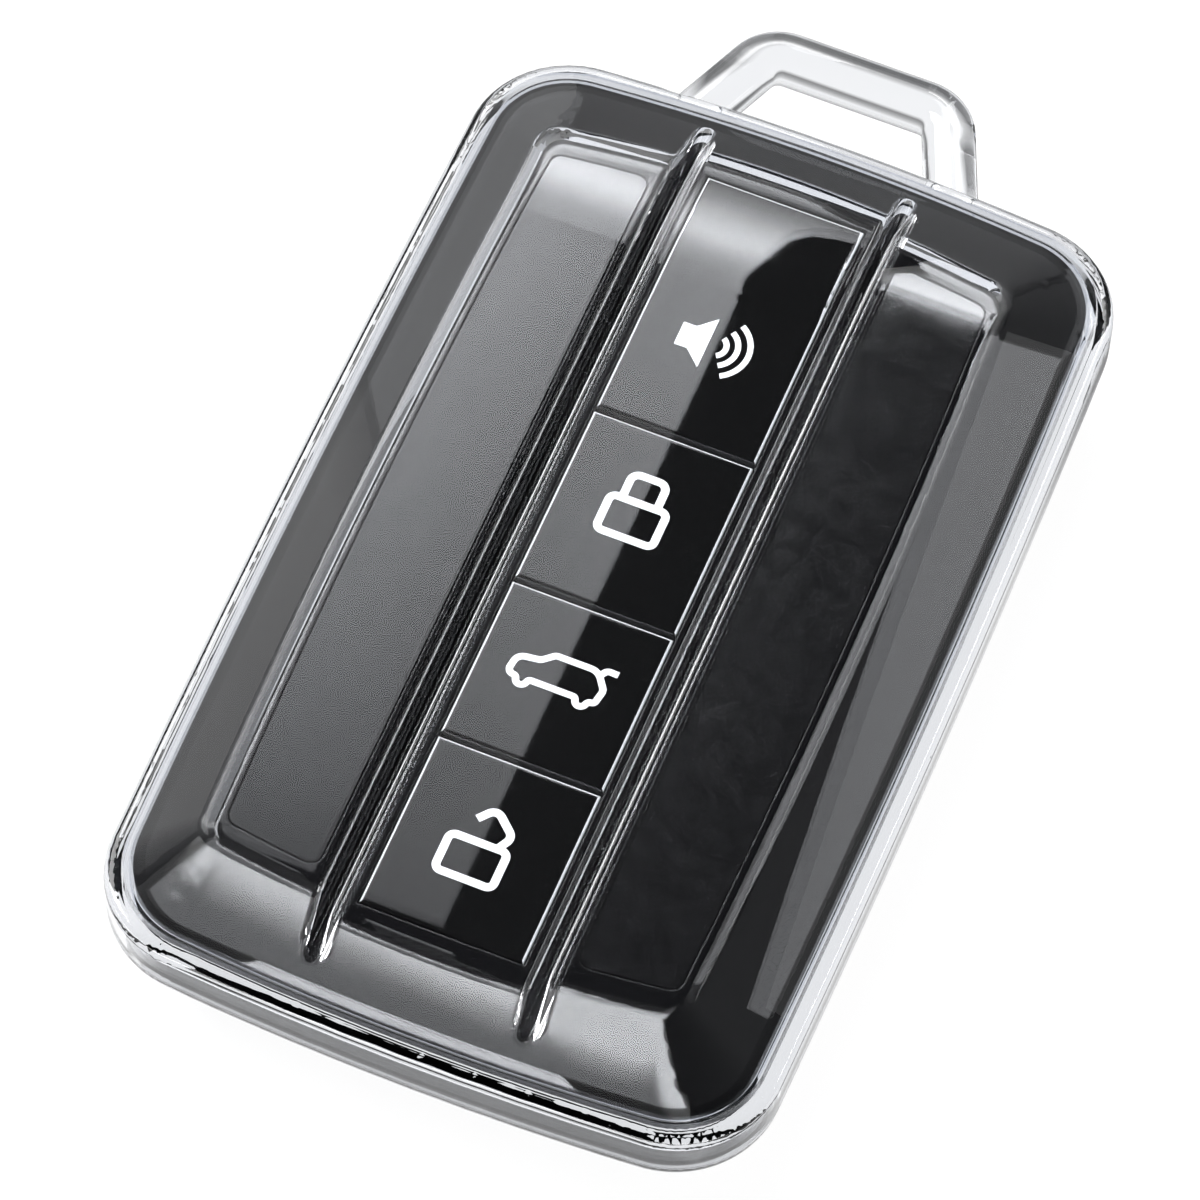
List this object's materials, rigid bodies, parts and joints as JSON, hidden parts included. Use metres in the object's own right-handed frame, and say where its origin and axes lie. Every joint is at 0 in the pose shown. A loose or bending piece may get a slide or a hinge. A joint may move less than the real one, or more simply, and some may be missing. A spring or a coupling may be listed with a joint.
{
  "type": "key fob cover",
  "caption": "Clear two-part cover with a moulded loop, closed on a black remote key with buttons, grained inlays and an emergency key inside.",
  "frame": {"origin": "centre of the cover's flat back face, which it lies on", "axes": "+Z out of the button face, +Y along the length towards the loop, +X to the right when the buttons face the viewer and the loop is up"},
  "size_m": [0.0516, 0.0917, 0.019],
  "materials": {
    "clear_plastic": "clear, polished",
    "gloss_black": "piano black, polished",
    "grained_black": "fine moulded grain",
    "satin_black": "satin",
    "seal_rubber": "matte",
    "mat_rubber": "matte",
    "board_laminate": "solder mask, satin",
    "chip_black": "matte",
    "steel": "brushed",
    "nickel": "bright plated",
    "ferrite": "sintered, matte",
    "copper": "enamelled wire"
  },
  "bodies": {
    "back_cover": {"back_cover": "clear_plastic"},
    "key": {"front_case": "gloss_black", "rear_case": "satin_black", "case_seal": "seal_rubber", "left_trim_panel": "grained_black", "right_trim_panel": "grained_black", "keypad_membrane": "mat_rubber", "circuit_board": "board_laminate", "tact_switches": "nickel", "control_chip": "chip_black", "radio_chip": "chip_black", "crystal_can": "nickel", "antenna_core": "ferrite", "antenna_winding": "copper", "coin_cell": "steel", "battery_bottom_contact": "nickel", "battery_top_contact": "nickel", "emergency_key_blade": "steel", "emergency_key_grip": "satin_black", "release_spring": "steel"},
    "front_cover": {"front_cover": "clear_plastic"},
    "panic_button": {"panic_button": "gloss_black"},
    "lock_button": {"lock_button": "gloss_black"},
    "tailgate_button": {"tailgate_button": "gloss_black"},
    "unlock_button": {"unlock_button": "gloss_black"},
    "release_slider": {"release_slider": "satin_black"}
  },
  "joints": [
    {"name": "key_lift", "type": "slide", "parent": "back_cover", "child": "key", "axis": [0, 0, 1], "range_m": [0, 0.03]},
    {"name": "front_cover_lift", "type": "slide", "parent": "key", "child": "front_cover", "axis": [0, 0, 1], "range_m": [0, 0.03]},
    {"name": "panic_press", "type": "slide", "parent": "key", "child": "panic_button", "axis": [0, 0, -1], "range_m": [0, 0.0005], "stiffness_N_per_m": 1500, "springref_m": -0.0004},
    {"name": "lock_press", "type": "slide", "parent": "key", "child": "lock_button", "axis": [0, 0, -1], "range_m": [0, 0.0005], "stiffness_N_per_m": 1500, "springref_m": -0.0004},
    {"name": "tailgate_press", "type": "slide", "parent": "key", "child": "tailgate_button", "axis": [0, 0, -1], "range_m": [0, 0.0005], "stiffness_N_per_m": 1500, "springref_m": -0.0004},
    {"name": "unlock_press", "type": "slide", "parent": "key", "child": "unlock_button", "axis": [0, 0, -1], "range_m": [0, 0.0005], "stiffness_N_per_m": 1500, "springref_m": -0.0004},
    {"name": "release_slide", "type": "slide", "parent": "key", "child": "release_slider", "axis": [-1, 0, 0], "range_m": [0, 0.0018], "stiffness_N_per_m": 400, "springref_m": -0.0008, "deforming": ["release_spring"]}
  ]
}
